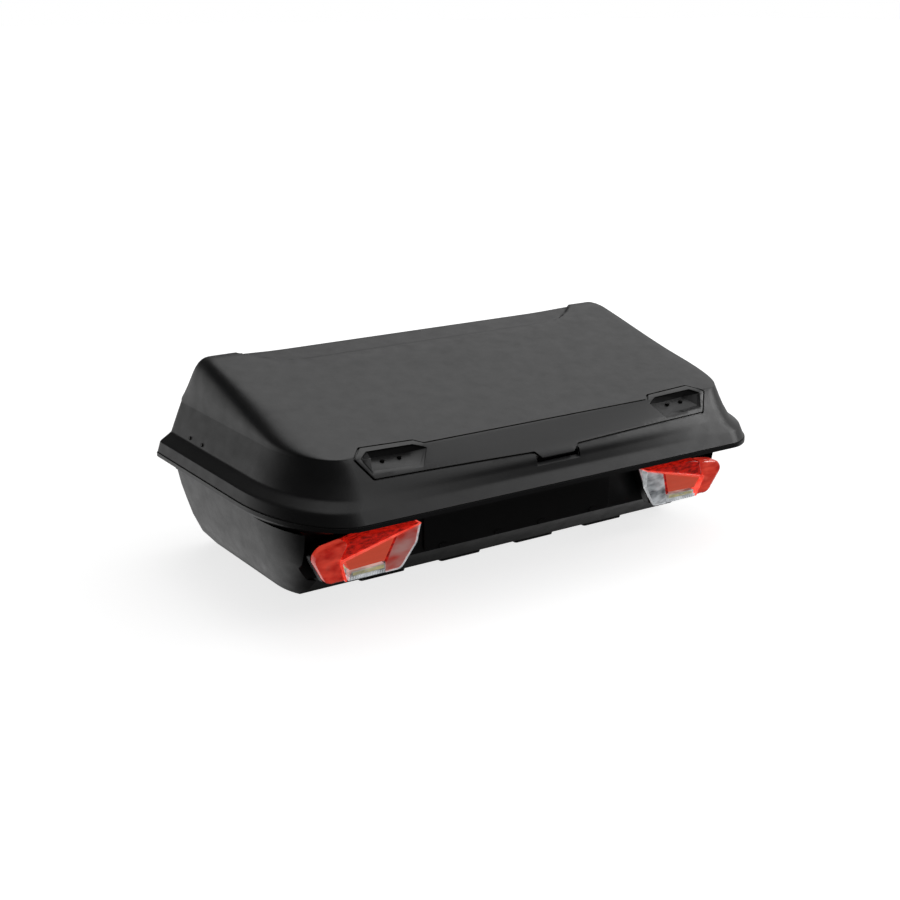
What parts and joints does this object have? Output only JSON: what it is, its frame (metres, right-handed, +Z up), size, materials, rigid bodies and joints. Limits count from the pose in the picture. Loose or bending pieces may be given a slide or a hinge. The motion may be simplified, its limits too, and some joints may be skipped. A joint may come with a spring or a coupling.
{
  "type": "cargo box",
  "caption": "Lockable hard-shell rear cargo box with a hinged lid, gas struts, finger latch, tail lamps and a number plate panel, for a towbar platform",
  "frame": {"origin": "centre of the bounding box in plan, on the ground plane under the feet", "axes": "+X along the box, -Y the lamp and handle side, +Y the car and hinge side, +Z up"},
  "size_m": [1.34, 0.75, 0.485],
  "materials": {
    "abs_textured": "satin black vacuum-formed ABS with a fine grain",
    "abs_smooth": "smoother satin black ABS",
    "plate_black": "deep black moulded plastic",
    "lens_red": "transparent red acrylic",
    "lens_clear": "clear acrylic",
    "reflex_red": "prismatic red reflector",
    "lamp_chrome": "metallised reflector",
    "zinc_steel": "zinc plated steel",
    "black_steel": "black powder coat",
    "rubber": "EPDM rubber"
  },
  "bodies": {
    "base": {"base_tub": "abs_textured", "rim_seal": "rubber", "floor_mat": "rubber", "mount_rail_left": "black_steel", "mount_rail_right": "black_steel", "skid_pads_left": "abs_smooth", "skid_pads_right": "abs_smooth", "corner_feet": "rubber", "number_plate_panel": "plate_black", "plate_clips": "plate_black", "lamp_housing_left": "plate_black", "lamp_housing_right": "plate_black", "red_lens_left": "lens_red", "red_lens_right": "lens_red", "fog_lens_left": "lens_red", "reverse_lens_right": "lens_clear", "strip_lens_left": "lens_clear", "strip_lens_right": "lens_clear", "retro_reflector_left": "reflex_red", "retro_reflector_right": "reflex_red", "lamp_reflector_left": "lamp_chrome", "lamp_reflector_right": "lamp_chrome", "lamp_bulbs_left": "lens_clear", "lamp_bulbs_right": "lens_clear", "lamp_bracket_left": "plate_black", "lamp_bracket_right": "plate_black", "striker_left": "zinc_steel", "striker_right": "zinc_steel", "hinge_base_left": "black_steel", "hinge_base_right": "black_steel", "hinge_pins": "zinc_steel", "hinge_base_screws": "zinc_steel", "strut_base_bracket_left": "black_steel", "strut_base_bracket_right": "black_steel"},
    "lid": {"lid_shell": "abs_textured", "lid_frame": "abs_smooth", "handle_panel": "abs_smooth", "pocket_screws": "zinc_steel", "badge_plate": "abs_smooth", "handle_cup": "abs_smooth", "lever_pin": "zinc_steel", "latch_bracket_left": "black_steel", "latch_bracket_right": "black_steel", "hinge_lid_left": "black_steel", "hinge_lid_right": "black_steel", "hinge_lid_screws": "zinc_steel", "strut_lid_bracket_left": "black_steel", "strut_lid_bracket_right": "black_steel", "side_screws": "zinc_steel"},
    "latch": {"latch_shaft": "zinc_steel", "latch_hook_left": "black_steel", "latch_hook_right": "black_steel"},
    "lever": {"release_lever": "abs_smooth"},
    "lock": {"lock_barrel": "zinc_steel"},
    "strut_tube_left": {"strut_cylinder_left": "black_steel"},
    "strut_tube_right": {"strut_cylinder_right": "black_steel"},
    "strut_piston_left": {"strut_rod_left": "zinc_steel"},
    "strut_piston_right": {"strut_rod_right": "zinc_steel"}
  },
  "joints": [
    {"name": "lid_hinge", "type": "hinge", "parent": "base", "child": "lid", "pos_m": [0, 0.367, 0.245], "axis": [-1, 0, 0], "range_deg": [0, 70]},
    {"name": "lever_turn", "type": "hinge", "parent": "lid", "child": "lever", "pos_m": [0.011, -0.331, 0.302], "axis": [-1, 0, 0], "range_deg": [0, 25.5]},
    {"name": "latch_turn", "type": "hinge", "parent": "lid", "child": "latch", "pos_m": [0, -0.283, 0.322], "axis": [-1, 0, 0], "range_deg": [0, 15], "stiffness_Nm_per_rad": 0.5},
    {"name": "lock_turn", "type": "hinge", "parent": "lid", "child": "lock", "pos_m": [-0.046, -0.318, 0.298], "axis": [0, -1, 0], "range_deg": [0, 90]},
    {"name": "strut_swing_left", "type": "hinge", "parent": "base", "child": "strut_tube_left", "pos_m": [-0.592, 0.02, 0.155], "axis": [1, 0, 0], "range_deg": [-0.7, 0]},
    {"name": "strut_slide_left", "type": "slide", "parent": "strut_tube_left", "child": "strut_piston_left", "axis": [0, 0.8291, 0.5591], "range_m": [0, 0.165]},
    {"name": "strut_swing_right", "type": "hinge", "parent": "base", "child": "strut_tube_right", "pos_m": [0.592, 0.02, 0.155], "axis": [1, 0, 0], "range_deg": [-0.7, 0]},
    {"name": "strut_slide_right", "type": "slide", "parent": "strut_tube_right", "child": "strut_piston_right", "axis": [0, 0.8291, 0.5591], "range_m": [0, 0.165]}
  ],
  "couplings": [
    {"joint": "lever_turn", "follows": "latch_turn", "ratio": 1.6667},
    {"joint": "strut_swing_left", "follows": "lid_hinge", "ratio": -0.008947},
    {"joint": "strut_slide_left", "follows": "lid_hinge", "m_per_rad": 0.13424},
    {"joint": "strut_swing_right", "follows": "lid_hinge", "ratio": -0.008947},
    {"joint": "strut_slide_right", "follows": "lid_hinge", "m_per_rad": 0.13424}
  ]
}
